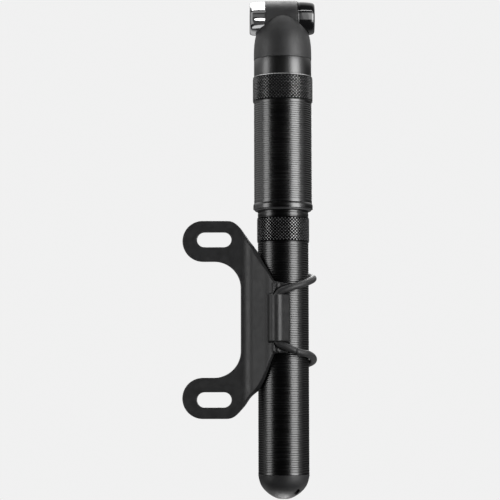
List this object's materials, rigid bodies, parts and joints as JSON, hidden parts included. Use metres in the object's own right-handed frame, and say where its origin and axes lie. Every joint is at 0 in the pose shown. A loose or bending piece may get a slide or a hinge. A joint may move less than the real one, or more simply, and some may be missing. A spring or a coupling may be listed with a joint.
{
  "type": "mini pump",
  "caption": "Telescoping bicycle mini pump in a bottle-boss bracket with an elastic strap, cross-tube valve head and thumb lock lever.",
  "frame": {"origin": "midpoint between the two bottle-boss slots, on the bracket's flat mounting face", "axes": "+Z along the pump towards the valve head, +Y out of the mounting face towards the bicycle frame, +X from the slots to the pump"},
  "size_m": [0.0538, 0.0381, 0.201],
  "materials": {
    "bracket_plastic": "matte",
    "cord_rubber": "matte",
    "anodised_black": "satin",
    "collar_anodised": "satin",
    "cap_plastic": "matte",
    "head_plastic": "matte",
    "band_gloss": "gloss",
    "cap_gloss": "gloss",
    "lever_chrome": "polished",
    "aluminium": "satin",
    "steel": "satin",
    "brass": "satin",
    "bush_plastic": "satin",
    "seal_rubber": "matte"
  },
  "bodies": {
    "mount": {"bracket": "bracket_plastic", "elastic_strap": "cord_rubber"},
    "handle": {"barrel": "anodised_black", "end_cap": "cap_plastic", "end_plug": "aluminium", "barrel_bush": "bush_plastic"},
    "rod": {"piston_rod": "steel", "rod_bolt": "steel", "swivel_washer": "brass", "piston": "bush_plastic", "piston_seal": "seal_rubber", "piston_nut": "steel"},
    "head": {"head_housing": "head_plastic", "smooth_band": "band_gloss", "knurled_collar": "collar_anodised", "grip_sleeve": "anodised_black", "mouth_bush": "bush_plastic", "air_cylinder": "aluminium", "cylinder_gasket": "seal_rubber", "rod_guide": "bush_plastic", "stop_buffer": "seal_rubber", "valve_seat": "brass", "check_spring": "steel", "valve_grommet": "seal_rubber", "valve_cap": "cap_gloss", "lever_screw": "steel"},
    "lever": {"lock_lever": "lever_chrome"},
    "plunger_group": {"plunger": "bush_plastic", "valve_pin": "brass", "plunger_rings": "seal_rubber"},
    "check_valve": {"check_ball": "steel"}
  },
  "joints": [
    {"name": "pump_release", "type": "slide", "parent": "mount", "child": "handle", "axis": [0, 0, 1], "range_m": [0, 0.09]},
    {"name": "handle_swivel", "type": "hinge", "parent": "handle", "child": "rod", "pos_m": [0.0277, 0.001, 0], "axis": [0, 0, 1], "continuous": true},
    {"name": "pump_stroke", "type": "slide", "parent": "rod", "child": "head", "axis": [0, 0, 1], "range_m": [0, 0.12]},
    {"name": "lever_lock", "type": "hinge", "parent": "head", "child": "lever", "pos_m": [0.0177, 0.001, 0.1223], "axis": [1, 0, 0], "range_deg": [0, 90]},
    {"name": "plunger_push", "type": "slide", "parent": "head", "child": "plunger_group", "axis": [1, 0, 0], "range_m": [0, 0.0015]},
    {"name": "check_lift", "type": "slide", "parent": "head", "child": "check_valve", "axis": [0, 0, 1], "range_m": [0, 0.0012], "deforming": ["check_spring"]}
  ],
  "couplings": [
    {"joint": "plunger_push", "follows": "lever_lock", "m_per_rad": 0.000954}
  ]
}
